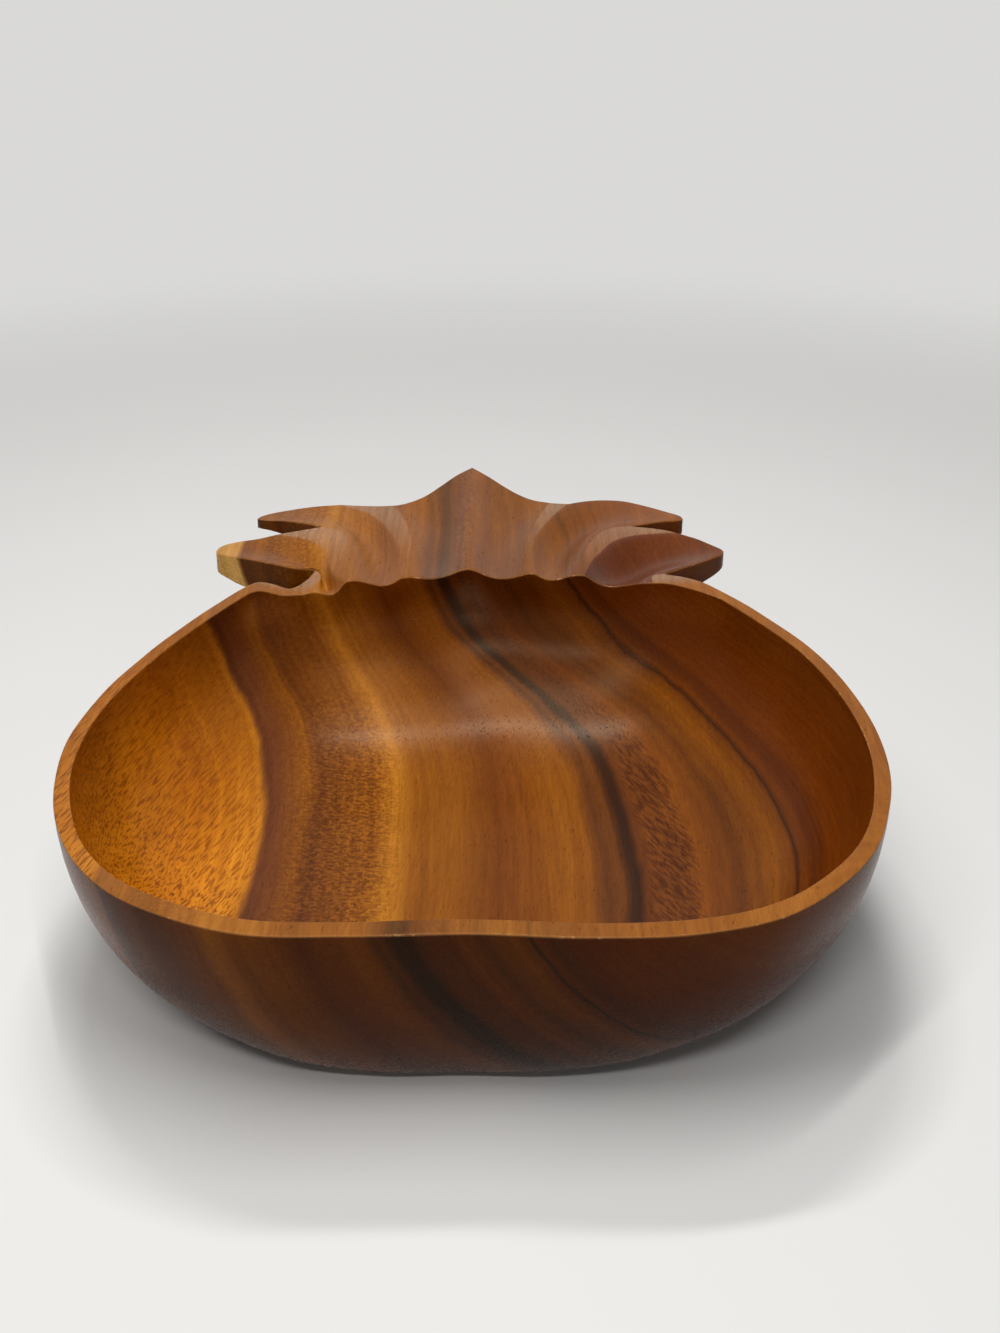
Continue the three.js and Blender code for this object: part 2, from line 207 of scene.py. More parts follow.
def smooth_curve(points):
    """A Hermite curve through the points, whose slopes weigh each gap by the square root of its length."""
    p = np.array(points, float)
    p = np.vstack([2 * p[0] - p[1], p, 2 * p[-1] - p[-2]])
    gap = np.sqrt(np.linalg.norm(np.diff(p, axis=0), axis=1))[:, None]
    a, b, c, d = p[:-3], p[1:-2], p[2:-1], p[3:]
    before, here, after = gap[:-2], gap[1:-1], gap[2:]
    leave = ((b - a) / before - (c - a) / (before + here) + (c - b) / here) * here
    arrive = ((c - b) / here - (d - b) / (here + after) + (d - c) / after) * here
    t = np.linspace(0, 1, CURVE_STEPS, endpoint=False)[None, :, None]
    b, c, leave, arrive = b[:, None], c[:, None], leave[:, None], arrive[:, None]
    q = (2 * t**3 - 3 * t**2 + 1) * b + (t**3 - 2 * t**2 + t) * leave
    q += (3 * t**2 - 2 * t**3) * c + (t**3 - t**2) * arrive
    return np.vstack([q.reshape(-1, 2), p[-2]])


def length_to(line):
    """Length along a line up to each of its points."""
    return np.append(0, np.cumsum(np.linalg.norm(np.diff(line, axis=0), axis=1)))


def at_shares(line, shares):
    """Points of a line at shares of its length."""
    reach = length_to(line)
    return np.stack([np.interp(shares * reach[-1], reach, line[:, k]) for k in (0, 1)], -1)


def ease(x):
    """Rises from 0 to 1 as x does, level at both ends."""
    t = np.clip(x, 0, 1)
    return t * t * (3 - 2 * t)


def strip_plan(inner, outer, first_line, last_line):
    """Plan of a strip of the top: columns of points from its inner to its outer edge.

    The four borders are blended, then the elliptic grid equations spread the points between them, so that
    no two columns cross.
    """
    EVENING_ROUNDS = 600
    u = np.linspace(0, 1, TOP_ROWS + 1)[None, :, None]
    v = np.linspace(0, 1, len(inner))[:, None, None]
    before = at_shares(smooth_curve(first_line), u[0, :, 0])[None]
    after = at_shares(smooth_curve(last_line), u[0, :, 0])[None]
    p = (1 - u) * inner[:, None] + u * outer[:, None] + (1 - v) * before + v * after
    p -= (1 - u) * ((1 - v) * inner[0] + v * inner[-1]) + u * ((1 - v) * outer[0] + v * outer[-1])
    for _ in range(EVENING_ROUNDS):
        across = (p[2:, 1:-1] - p[:-2, 1:-1]) / 2
        along = (p[1:-1, 2:] - p[1:-1, :-2]) / 2
        twist = (p[2:, 2:] - p[:-2, 2:] - p[2:, :-2] + p[:-2, :-2]) / 4
        wide = (across**2).sum(-1, keepdims=True)
        long = (along**2).sum(-1, keepdims=True)
        skew = (across * along).sum(-1, keepdims=True)
        moved = long * (p[2:, 1:-1] + p[:-2, 1:-1]) + wide * (p[1:-1, 2:] + p[1:-1, :-2])
        p[1:-1, 1:-1] = (moved - 2 * skew * twist) / (2 * (long + wide))
    return p


def rim_plan():
    """Plan and drop of the plain rim, as wide as the wall, turned in beside each notch to meet the crown.

    The wall thickens from side to front with the square of how far the outline runs from right to left. Each
    turn is a quadratic curve.
    """
    WALL_FRONT = 7.3
    WALL_SIDE = 5.2
    CLOSER_AT_NOTCHES = 0.6
    TURN_DELAY = 1.6
    first, last = on_crown(FIRST_LINE), on_crown(STRIPS[-1]["line"])
    outline = smooth_curve(
        np.vstack([on_crown(RIGHT_NECK["outline"]), BELLY, on_crown(LEFT_NECK["outline"])])
    )
    even = np.linspace(0, 1, RIM_COLUMNS + 1)
    share = even - CLOSER_AT_NOTCHES * np.sin(2 * np.pi * even) / (2 * np.pi)
    outer = at_shares(outline, share)
    along = np.gradient(outer, axis=0)
    along /= np.linalg.norm(along, axis=1, keepdims=True)
    wall = WALL_SIDE + (WALL_FRONT - WALL_SIDE) * np.maximum(-along[:, 0], 0) ** 2
    inner = outer + np.stack([along[:, 1], -along[:, 0]], -1) * wall[:, None]
    drop = np.zeros(RIM_COLUMNS + 1)
    length = length_to(outline)[-1]
    necks = [(RIGHT_NECK, last[0], share * length), (LEFT_NECK, first[0], (1 - share) * length)]
    for neck, meet, away in necks:
        depth, full, fade = neck["dip"]
        drop += depth * (1 - ease((away - full) / fade))
        turn = on_crown(neck["turn"])
        far = inner[np.argmin(np.where(away >= neck["run"], away, np.inf))]
        t = (np.clip(away / neck["run"], 0, 1) ** TURN_DELAY)[:, None]
        bend = (1 - t) ** 2 * meet + 2 * t * (1 - t) * turn + t**2 * far
        inner = np.where((away < neck["run"])[:, None], bend, inner)
    plan = strip_plan(inner, outer, last, first)
    return plan[:-1], np.repeat(drop[:-1, None], TOP_ROWS + 1, axis=1)


def gouge(strip, u, v):
    """Drop of a leaf's hollow: a curve along it, times a half wave across it that leans to one side.

    At a crest the wave w is rubbed round by s: it becomes the root of w squared plus s squared, less s.
    """
    start, halfway, outline = strip["depth"]
    steer = 2 * halfway - (start + outline) / 2
    along = (1 - u) ** 2 * start + 2 * u * (1 - u) * steer + u**2 * outline
    side = v if strip["lean"] > 0 else 1 - v
    wave = np.sin(np.pi * side ** abs(strip["lean"]))
    soft = strip["crests"][0] + (strip["crests"][1] - strip["crests"][0]) * ease(v)
    return along * (np.sqrt(wave**2 + soft**2) - soft) / (np.sqrt(1 + soft**2) - soft)


def notch_dip(neck, u, v):
    """How far the rim's dip reaches into the leaf beside it: a bell over v, wide at the hollow's edge."""
    FADE_AT_HOLLOW = 0.3
    FADE_AT_OUTLINE = 0.07
    fade = FADE_AT_HOLLOW + (FADE_AT_OUTLINE - FADE_AT_HOLLOW) * u
    return neck["dip"][0] * np.exp(-((v / fade) ** 2)) * (1 - v)


def crown_plan():
    """Plans, drops, edge thickness, and shares of rubbing and painted light, of the crown's strips, from left
    to right.
    """
    first = on_crown(FIRST_LINE)
    hollow_edge = smooth_curve([first[0]] + [on_crown(strip["line"])[0] for strip in STRIPS])
    plans, drops, edges, rubbed_and_lit = [], [], [], []
    line = first
    for s, strip in enumerate(STRIPS):
        count = LEAF_COLUMNS if "depth" in strip else LAND_COLUMNS
        v = np.linspace(0, 1, count + 1)
        stretch = hollow_edge[s * CURVE_STEPS : (s + 1) * CURVE_STEPS + 1]
        outline = smooth_curve(on_crown(strip["outline"]))
        previous, line = line, on_crown(strip["line"])
        plans.append(strip_plan(at_shares(stretch, v), at_shares(outline, v), previous, line)[:-1])
        u = np.linspace(0, 1, TOP_ROWS + 1)[None]
        v = v[:-1, None]
        drop = gouge(strip, u, v) if "depth" in strip else 0 * u * v
        if s == 0:
            drop = drop + notch_dip(LEFT_NECK, u, v)
        if s == len(STRIPS) - 1:
            drop = drop + notch_dip(RIGHT_NECK, u, 1 - v)
        drops.append(drop)
        edge = np.array(strip.get("edge", COMMON_EDGE))
        place = v[:, 0] * (len(edge) - 1)
        step = np.minimum(place.astype(int), len(edge) - 2)
        edges.append(edge[step] + (edge[step + 1] - edge[step]) * ease(place - step))
        rubbed_and_lit.append(np.tile(strip.get("rubbed_and_lit", LAND_RUBBED_AND_LIT), (count, 1)))
    return [np.concatenate(parts) for parts in (plans, drops, edges, rubbed_and_lit)]


# Its carving
# The dish is hollowed inside the drawn edge, and the leaves' sides are cut down. Their undersides are swept
# into the outer wall in a cove, and the wall goes down to the foot. Edges are rubbed round by hand.
# Drops are in millimetres, down from the rim.
HOLLOW_ROWS = 52
SIDE_ROWS = 4
UNDER_ROWS = 16
WALL_ROWS = 34

# The cove joins the leaves' undersides to the wall. The scallops of the hollow's edge fade out within their
# drop, and the side of the crown follows the wall's slope where the wall is within reach.
FLOOR_THICKNESS = 9
HOLLOW_FULLNESS = 4
WALL_BACK = 7.3
LEAF_THICKNESS = 8
COVE_DROP = 14
COVE_REACH = 18
COVE_FOOT = 2
EDGE_ROUNDING = 0.9
SCALLOP_DROP = 16
LEAF_EDGE_STAIN_AND_SHADE = 0.3
FOLLOW_REACH = 3
NOTCH_REACH = 16
NOTCH_ROUNDS = 40

hollow_depth = HEIGHT - FLOOR_THICKNESS
hollow_middle = np.array([0, BODY_LENGTH / 2])
foot_middle = np.array([-5, 125])


def wall_at(line, drop):
    """Plan of the outer wall at a drop, on its way in from its line to the foot, a rounded oblong.

    The share of the way that is left is 1 less a power of the drop's share of the height, and a root of that.
    """
    FOOT_HALF = np.array([72, 95])
    FOOT_SQUARENESS = 3
    WALL_FULLNESS = 2.2
    WALL_ROUNDNESS = 1.6
    way = line - hollow_middle
    way = way / np.linalg.norm(way, axis=1, keepdims=True)
    reach = (np.abs(way / FOOT_HALF) ** FOOT_SQUARENESS).sum(1, keepdims=True)
    foot = foot_middle + way * reach ** (-1 / FOOT_SQUARENESS)
    share = (1 - np.clip(drop / HEIGHT, 0, 1) ** WALL_FULLNESS) ** (1 / WALL_ROUNDNESS)
    return foot + (line - foot) * np.reshape(share, (-1, 1))


def along_run(run, u):
    """Points at u along each column's run over the top."""
    place = np.clip(u, 0, 1) * TOP_ROWS
    row = np.minimum(place.astype(int), TOP_ROWS - 1)
    column = np.arange(len(run))
    part = (place - row)[..., None]
    return run[column, row] * (1 - part) + run[column, row + 1] * part


def top_rows(plan, drop):
    """Rows over the top, closer to its two edges so that these can be rounded."""
    EDGE_GAP = 1.3
    MOST_OF_STRIP = 1 / 6
    length = np.linalg.norm(np.diff(plan, axis=1), axis=-1).sum(1)
    gap = np.minimum(EDGE_GAP / length, MOST_OF_STRIP)
    rows = []
    for share in np.linspace(0, 1, TOP_ROWS - 1):
        u = gap + (1 - 2 * gap) * share
        rows.append(np.column_stack([along_run(plan, u), -along_run(drop[..., None], u)[:, 0]]))
    start = np.column_stack([plan[:, 0], -drop[:, 0]])
    end = np.column_stack([plan[:, -1], -drop[:, -1]])
    return [start, *rows, end]


def rounded(before, corner, after, radius):
    """Five rows in place of a corner row, on a quadratic curve that starts and ends the radius away."""
    MOST_OF_GAP = 0.45

    def towards(other):
        gap = other - corner
        reach = np.linalg.norm(gap, axis=1, keepdims=True)
        return corner + gap * np.minimum(radius / np.maximum(reach, 1e-6), MOST_OF_GAP)

    start, end = towards(before), towards(after)
    shares = np.linspace(0, 1, 5)
    return [(1 - t) ** 2 * start + 2 * t * (1 - t) * corner + t**2 * end for t in shares]


def evened(edge):
    """The hollow's edge without its scallops, for the wall below.

    Each point keeps its bearing from the middle, and its distance becomes a bell-weighted mean of the
    distances around it. The front stays.
    """
    BELL = 0.16
    BACK_FROM = 60
    BACK_FADE = 40
    way = edge - hollow_middle
    bearing = np.arctan2(way[:, 1], way[:, 0])
    reach = np.linalg.norm(way, axis=1)
    step = np.linalg.norm(np.roll(edge, -1, axis=0) - np.roll(edge, 1, axis=0), axis=1)
    turn = np.angle(np.exp(1j * (bearing[:, None] - bearing[None])))
    weight = np.exp(-((turn / BELL) ** 2)) * step
    mean = (weight * reach).sum(1) / weight.sum(1)
    share = ease((way[:, 1] - BACK_FROM) / BACK_FADE)
    return hollow_middle + way * (1 + (mean / reach - 1) * share)[:, None]


def carved_rows():
    """All rows of the skin, each a closed ring of points, from the hollow's floor out and down to the foot.

    With them goes how far each point belongs to the rubbed top, painted lighter as painted light, the stained
    outside, painted darker as painted shade, and the worn edges, painted with a highlight.
    """
    rim, rim_drop = rim_plan()
    crown, crown_drop, crown_edge, crown_rubbed_and_lit = crown_plan()
    plan = np.concatenate([rim, crown])
    drop = np.concatenate([rim_drop, crown_drop])

    # the corner of each notch is rubbed round: drops move towards the mean of their neighbours
    for neck, meet in ((LEFT_NECK, -1), (RIGHT_NECK, 0)):
        corner = on_crown(neck["outline"][meet])
        near = np.exp(-((np.linalg.norm(plan - corner, axis=-1) / NOTCH_REACH) ** 2))
        for _ in range(NOTCH_ROUNDS):
            drop += near / 2 * ((np.roll(drop, 1, axis=0) + np.roll(drop, -1, axis=0)) / 2 - drop)

    # hollow: a dish whose wall stands upright at the edge and rounds into the floor. Its plan goes in with
    # a root of the sine of an angle, and its drop with the cosine.
    hollow = []
    smooth_edge = evened(plan[:, 0])
    lip_angle = np.arccos(drop[:, 0] / hollow_depth)
    for i in range(1, HOLLOW_ROWS):
        angle = lip_angle * i / HOLLOW_ROWS
        out = np.sin(angle)[:, None] ** (2 / HOLLOW_FULLNESS)
        under_lip = hollow_depth * np.cos(angle) - drop[:, 0]
        scalloped = 1 - ease(under_lip / SCALLOP_DROP)
        edge_line = smooth_edge + (plan[:, 0] - smooth_edge) * scalloped[:, None]
        flat = hollow_middle + (edge_line - hollow_middle) * out
        hollow.append(np.column_stack([flat, -hollow_depth * np.cos(angle)]))

    top = top_rows(plan, drop)

    # side: a leaf's upright edge, or the top of the bowl's own wall, whose slope it follows
    length = np.linalg.norm(np.diff(plan, axis=1), axis=-1).sum(1)
    wall_share = np.minimum(WALL_BACK / length, 1)
    line = along_run(plan, wall_share)
    overhang = length * (1 - wall_share)
    follow = np.exp(-overhang / FOLLOW_REACH)[:, None]

    thickness = LEAF_THICKNESS * np.concatenate([np.ones(len(rim)), crown_edge])
    root = LEAF_THICKNESS + COVE_DROP

    def underside(out):
        """Drop of the underside out from the wall: from the root's, it falls off to the leaf's thickness."""
        return thickness + (root - thickness) * np.exp(-out / COVE_REACH)

    side = []
    low = underside(overhang)
    for t in np.linspace(0, 1, SIDE_ROWS + 1)[1:]:
        down = drop[:, -1] + (low - drop[:, -1]) * t
        shift = (wall_at(line, down) - line) * follow
        side.append(np.column_stack([plan[:, -1] + shift, -down]))

    # underside: back under the leaf, and down in a cove to the wall
    under = []
    meet = root + COVE_FOOT
    meet_shift = wall_at(line, meet) - line
    for t in np.linspace(0, 1, UNDER_ROWS + 1)[1:]:
        flat = along_run(plan, 1 - (1 - wall_share) * t) + shift * (1 - t) + meet_shift * t
        under.append(np.column_stack([flat, -underside(overhang * (1 - t)) - COVE_FOOT * t]))

    # outer wall down to the foot
    wall = []
    for angle in np.linspace(np.arcsin(meet / HEIGHT), np.pi / 2, WALL_ROWS + 1)[1:]:
        down = HEIGHT * np.sin(angle)
        wall.append(np.column_stack([wall_at(line, down), np.full(len(line), -down)]))

    lip = rounded(hollow[-1], top[0], top[1], EDGE_ROUNDING)
    edge = rounded(top[-2], top[-1], side[0], EDGE_ROUNDING)
    tip = rounded(side[-2], side[-1], under[0], EDGE_ROUNDING)
    inside = [*hollow, *lip[:2]]
    face = [*lip[2:], *top[1:-1], *edge[:3]]
    outside = [*edge[3:], *side[:-1], *tip]
    rows = np.array([*inside, *face, *outside, *under, *wall])
    face_from, side_from = len(inside), len(inside) + len(face)
    rubbed_and_lit, outer, edge_wear_and_glint = np.zeros((3, *rows.shape[:2]))
    rubbed_and_lit[face_from:side_from, : len(rim)] = 1
    rubbed_and_lit[face_from:side_from, len(rim) :] = np.linspace(*crown_rubbed_and_lit.T, len(face))
    # the outside is darkened, partly as a stain and partly as painted shade
    outer[side_from:] = 1
    outer[side_from : side_from + len(outside), len(rim) :] = LEAF_EDGE_STAIN_AND_SHADE
    # the rounded edges are painted paler: partly a painted highlight, partly worn wood
    edge_wear_and_glint[face_from - 1 : face_from + 2] = 1
    edge_wear_and_glint[side_from - 2 : side_from + 1] = 1
    return rows, {"rubbed_and_lit": rubbed_and_lit, "outer": outer, "edge_wear_and_glint": edge_wear_and_glint}


def closed_skin(rows, middle, foot):
    """Quads between rows that each close on themselves, and a fan of triangles to a middle at each end."""
    count = rows.shape[1]
    points = np.vstack([middle, rows.reshape(-1, 3), foot])
    column = np.arange(count)
    beside = (column + 1) % count
    start = 1 + np.arange(len(rows) - 1)[:, None] * count
    quads = np.stack([start + column, start + beside, start + count + beside, start + count + column], -1)
    last = 1 + (len(rows) - 1) * count
    floor_fan = np.stack([0 * column, 1 + beside, 1 + column], -1)
    foot_fan = np.stack([last + column, last + beside, 0 * column + len(points) - 1], -1)
    faces = quads.reshape(-1, 4).tolist() + floor_fan.tolist() + foot_fan.tolist()
    return points, faces


skin_rows, finishes = carved_rows()
skin, skin_faces = closed_skin(skin_rows, (*hollow_middle, -hollow_depth), (*foot_middle, -HEIGHT))
skin = (skin + (0, -WHOLE_LENGTH / 2, HEIGHT)) / 1000

bowl_mesh = bpy.data.meshes.new("carved_bowl_skin")
bowl_mesh.from_pydata(skin.tolist(), [], skin_faces)
bowl_mesh.shade_smooth()

# The gouge and the scraper leave the faces slightly uneven: 14 soft waves, each along its own direction.
WAVES = 14
WAVE_HEIGHT = 0.00003
FLAT_FOOT = 0.006
random = np.random.default_rng(7)
normals = np.empty(len(skin) * 3)
bowl_mesh.vertices.foreach_get("normal", normals)
wave_lengths = random.uniform(0.02, 0.07, WAVES)
wave_ways = random.normal(size=(WAVES, 3))
wave_ways /= np.linalg.norm(wave_ways, axis=1, keepdims=True)
phases = random.uniform(0, 2 * np.pi, WAVES)
lift = np.sin(2 * np.pi * skin @ (wave_ways / wave_lengths[:, None]).T + phases).sum(1) * WAVE_HEIGHT
lift *= ease(skin[:, 2] / FLAT_FOOT)
bowl_mesh.vertices.foreach_set("co", (skin + normals.reshape(-1, 3) * lift[:, None]).ravel())

# The finish differs by place: the top is rubbed paler by hands and cloths and is also painted lighter, as
# painted light; the outside is stained darker and is also painted darker, as painted shade.
for name, shares in finishes.items():
    shares = shares.ravel()
    layer = bowl_mesh.attributes.new(name, "FLOAT", "POINT")
    layer.data.foreach_set("value", np.array([shares[0], *shares, shares[-1]], dtype=np.float32))

bowl = bpy.data.objects.new("carved_bowl_skin", bowl_mesh)
bpy.context.scene.collection.objects.link(bowl)
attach(bowl, "root")
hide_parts("carved_bowl")


# Its wood
# The block lay beside the heart of the trunk, so every stripe is a ring about one line to its right,
# along the bowl. Dark heartwood, gold near the bark at the left, short pores, and an oiled satin surface.
# Lengths in the wood are in millimetres.
RINGS_FROM = 55
RINGS_TO = 275
HEART_X = 120
HEART_Z = 127

# Distance from the heart in millimetres, and the wood's colour there (red, green, blue out of 255)
RING_COLOURS = [
    (55, (128, 66, 8)),
    (72, (113, 52, 4)),
    (90, (105, 47, 3)),
    (95, (84, 36, 6)),
    (99.3, (106, 50, 5)),
    (100.4, (46, 19, 4)),
    (101.5, (106, 53, 5)),
    (105, (124, 66, 4)),
    (113, (98, 49, 6)),
    (119.5, (120, 61, 7)),
    (123, (100, 49, 7)),
    (130.4, (96, 46, 8)),
    (132.4, (50, 22, 5)),
    (134.2, (50, 22, 5)),
    (136.2, (106, 55, 13)),
    (138.8, (86, 43, 12)),
    (142, (131, 71, 11)),
    (147, (136, 75, 11)),
    (155, (124, 64, 8)),
    (163, (108, 52, 6)),
    (174, (138, 77, 12)),
    (186, (143, 81, 13)),
    (191, (180, 112, 28)),
    (198, (138, 77, 13)),
    (208, (121, 65, 12)),
    (215.5, (105, 54, 14)),
    (219, (131, 73, 14)),
    (226, (110, 58, 25)),
    (230, (98, 50, 24)),
    (231.6, (204, 127, 30)),
    (246, (196, 113, 13)),
    (275, (150, 84, 12)),
]

# Sapwood; the top's paler tone, partly the rubbed finish and partly painted light; and the pale grey of the
# crown's flat lands, a painted sheen
SAPWOOD = (190, 136, 66)
RUBBED_AND_LIT_TOP = (152, 93, 34)
LAND_SHEEN = (158, 136, 116)


def linear(colour):
    """The linear colour of a colour that is written for a screen, out of 255."""
    c = np.array(colour) / 255
    return (*np.where(c <= 0.04045, c / 12.92, ((c + 0.055) / 1.055) ** 2.4), 1)


wood = bpy.data.materials.new("oiled_monkeypod")
wood.use_nodes = True
tree = wood.node_tree
shader = tree.nodes["Principled BSDF"]


def add_node(kind, inputs, **settings):
    """Adds a node to the tree in hand. An input is a value or the output that it is linked to."""
    node = tree.nodes.new(kind)
    for name, value in settings.items():
        setattr(node, name, value)
    for socket, value in inputs.items():
        if isinstance(value, bpy.types.NodeSocket):
            tree.links.new(value, node.inputs[socket])
        else:
            node.inputs[socket].default_value = value
    return node


def calc(operation, *values):
    """One step of arithmetic."""
    return add_node("ShaderNodeMath", dict(enumerate(values)), operation=operation).outputs[0]


def product(total, *factors):
    """All of the numbers multiplied."""
    for factor in factors:
        total = calc("MULTIPLY", total, factor)
    return total


def rest(share):
    """What a share leaves of 1."""
    return calc("SUBTRACT", 1.0, share)


def bell(value):
    """1 at 0 and less on both sides: e to the power of minus the square of the value."""
    return calc("EXPONENT", product(calc("POWER", value, 2.0), -1.0))


def spread(value, low, high, to_low=0.0, to_high=1.0, way="LINEAR"):
    """Maps low to high on to another range, and holds it there."""
    inputs = {0: value, 1: low, 2: high, 3: to_low, 4: to_high}
    return add_node("ShaderNodeMapRange", inputs, interpolation_type=way).outputs[0]


def between(value, rise_from, rise_to, fall_from, fall_to):
    """Rises from 0 to 1, and further on falls back to 0."""
    return product(spread(value, rise_from, rise_to), spread(value, fall_from, fall_to, 1.0, 0.0))


def vector(x, y, z=0.0):
    """A vector of three numbers."""
    return add_node("ShaderNodeCombineXYZ", {0: x, 1: y, 2: z}).outputs[0]


def scaled(start, scale):
    """A vector or colour, each of its numbers times one of the scale's."""
    return add_node("ShaderNodeVectorMath", {0: start, 1: scale}, operation="MULTIPLY").outputs[0]


def mixed(share, colour, other):
    """A colour with a share of another one in it."""
    return add_node("ShaderNodeMix", {0: share, 6: colour, 7: other}, data_type="RGBA").outputs[2]


def from_mesh(name):
    """How far a point belongs to one of the mesh's finishes."""
    return add_node("ShaderNodeAttribute", {}, attribute_name=name).outputs["Fac"]


def noise(at, detail=2.0, roughness=0.5, warp=0.0):
    """Soft noise about 0.5, one lump for each whole number."""
    inputs = {"Vector": at, "Scale": 1.0, "Detail": detail, "Roughness": roughness, "Distortion": warp}
    return add_node("ShaderNodeTexNoise", inputs).outputs[0]


point = scaled(add_node("ShaderNodeTexCoord", {}).outputs["Object"], (1000, 1000, 1000))
across, along, up = add_node("ShaderNodeSeparateXYZ", {0: point}).outputs


def stretched(scale):
    """The point in the wood times a scale for each way, which says how many lumps fill a millimetre."""
    return scaled(point, scale)


def slanted(degrees, scale):
    """The same, turned about the upright way first."""
    turn = {"Vector": point, "Angle": radians(degrees)}
    return scaled(add_node("ShaderNodeVectorRotate", turn, rotation_type="Z_AXIS").outputs[0], scale)


to_side = calc("SUBTRACT", across, HEART_X)
above = calc("SUBTRACT", up, HEART_Z)
from_heart = calc("SQRT", calc("ADD", calc("POWER", to_side, 2.0), calc("POWER", above, 2.0)))

# The rings swing outwards towards the block's top and at its front end, and they wander a little.
SWING_AT_TOP = 16.5
SWING_AT_FRONT = 17.0
to_front = spread(along, -105.0, -190.0, way="SMOOTHSTEP")
to_top = spread(up, 14.0, 50.0, way="SMOOTHSTEP")
swing_grows = spread(from_heart, 100.0, 135.0, 0.0, SWING_AT_TOP)
swing_fades = spread(from_heart, 140.0, 200.0, SWING_AT_TOP, 4.0)
swing_up = product(calc("MINIMUM", swing_grows, swing_fades), to_top, rest(to_front))
swing_out = product(spread(from_heart, 150.0, 231.0, SWING_AT_FRONT, 8.0), to_front)
slow_wander = spread(noise(stretched((0.012, 0.006, 0.012))), 0.0, 1.0, -2.5, 2.5)
quick_wander = spread(noise(stretched((0.09, 0.02, 0.09)), 3.0), 0.0, 1.0, -1.6, 1.6)
ring = calc("SUBTRACT", from_heart, calc("ADD", swing_up, swing_out))
ring = calc("ADD", ring, calc("ADD", slow_wander, quick_wander))

# The dark line widens to a band at the front and at the top: the rings beside it are drawn towards it.
DARK_LINE = 133.0
LINE_REACH = 10.0
WIDENING = 0.6
from_line = calc("SUBTRACT", ring, DARK_LINE)
near_line = bell(calc("DIVIDE", from_line, LINE_REACH))
widened = calc("MAXIMUM", to_front, product(to_top, 0.75))
ring = calc("SUBTRACT", ring, product(from_line, product(near_line, WIDENING, widened)))

ramp = add_node("ShaderNodeValToRGB", {0: spread(ring, RINGS_FROM, RINGS_TO)})
stops = ramp.color_ramp.elements
while len(stops) < len(RING_COLOURS):
    stops.new(1.0)
for stop, (distance, colour) in zip(stops, RING_COLOURS):
    stop.position = (distance - RINGS_FROM) / (RINGS_TO - RINGS_FROM)
    stop.color = linear(colour)

# The outermost wood is gold, and pale sapwood at the crown's left tip.
gold = spread(ring, 230.0, 233.0)
at_tip = product(spread(ring, 226.5, 229.0), spread(along, 50.0, 75.0))
heartwood = rest(at_tip)
stripes = mixed(at_tip, ramp.outputs[0], linear(SAPWOOD))

# The top is paler and its stripes less distinct: partly a finish rubbed thinner, and partly painted light and
# sheen on the upward faces. The dark line still shows on the rim. The crown's flat lands are mixed with pale
# grey,
# a painted sheen: the milky reflection of light from behind.
RUBBED_AND_LIT_SHARE = 0.6
LINE_ON_RIM = -0.35
LAND_SHEEN_SHARE = 0.45
rubbed_and_lit_here = from_mesh("rubbed_and_lit")
outer_here = from_mesh("outer")
on_crown_here = spread(along, 50.0, 60.0)
line_kept = product(near_line, spread(on_crown_here, 0.0, 1.0, LINE_ON_RIM, 0.0))
paler_and_lit = product(calc("MAXIMUM", rubbed_and_lit_here, 0.0), calc("ADD", line_kept, RUBBED_AND_LIT_SHARE), heartwood)
# Painted light: the top's paler tone is partly the rubbed finish and partly light and sheen on the upward
# faces.
stripes = mixed(paler_and_lit, stripes, linear(RUBBED_AND_LIT_TOP))
# Painted sheen: pale grey on the crown's flat lands for the milky reflection of light from behind.
land_sheen_here = product(spread(rubbed_and_lit_here, 0.5, 1.0, 0.0, LAND_SHEEN_SHARE), on_crown_here)
stripes = mixed(land_sheen_here, stripes, linear(LAND_SHEEN))

# Growth lines and blotches
along_rings = vector(product(ring, 0.5), product(along, 0.004))
growth_shade = spread(noise(along_rings, 4.0, 0.65), 0.3, 0.7, 0.82, 1.15)
blotch_shade = spread(noise(stretched((0.04, 0.015, 0.04)), 3.0, 0.55), 0.3, 0.7, 0.88, 1.1)

# Fibres run along the block. In the gold wood they are short brown flecks, fainter at the back. The gold is
# painted darker towards the back, as painted shade, and a little lighter at the front, as painted light.
fibres = noise(stretched((0.9, 0.05, 0.9)), 3.0, 0.6)
fibre_shade = spread(fibres, 0.3, 0.7, 0.9, 1.1)
flecks = spread(noise(slanted(15, (1.4, 0.12, 1.4)), 2.0, 0.5), 0.48, 0.62)
fleck_depth = calc("ADD", product(gold, spread(along, -100.0, 0.0, 0.48, 0.12)), 0.08)
fleck_shade = calc("SUBTRACT", 1.06, product(flecks, fleck_depth))
# Painted light and shade: the gold is darker towards the back and a little lighter at the front.
gold_painted_light_and_shade = rest(product(gold, spread(along, -90.0, 10.0, -0.08, 0.34), heartwood))

# Curly wood: the fibres wave, which shows as short ripples. Beside the dark line they lie like a comb.
curly = between(ring, 188.0, 198.0, 214.0, 229.0)
combed = between(ring, 119.0, 122.0, 128.0, 131.0)
ripples = spread(noise(stretched((0.5, 0.8, 0.5)), 1.5, 0.5, 0.5), 0.38, 0.61, 0.3, -0.36)
comb = spread(noise(slanted(-26, (0.95, 0.14, 0.95)), 2.0, 0.5), 0.4, 0.6, 0.3, -0.45)
wavy = calc("ADD", product(curly, ripples), product(combed, comb))
strength = calc("ADD", spread(up, 10.0, 32.0, 1.0, 0.25), product(on_crown_here, 0.2))
ripple_shade = calc("ADD", product(wavy, strength), 1.0)

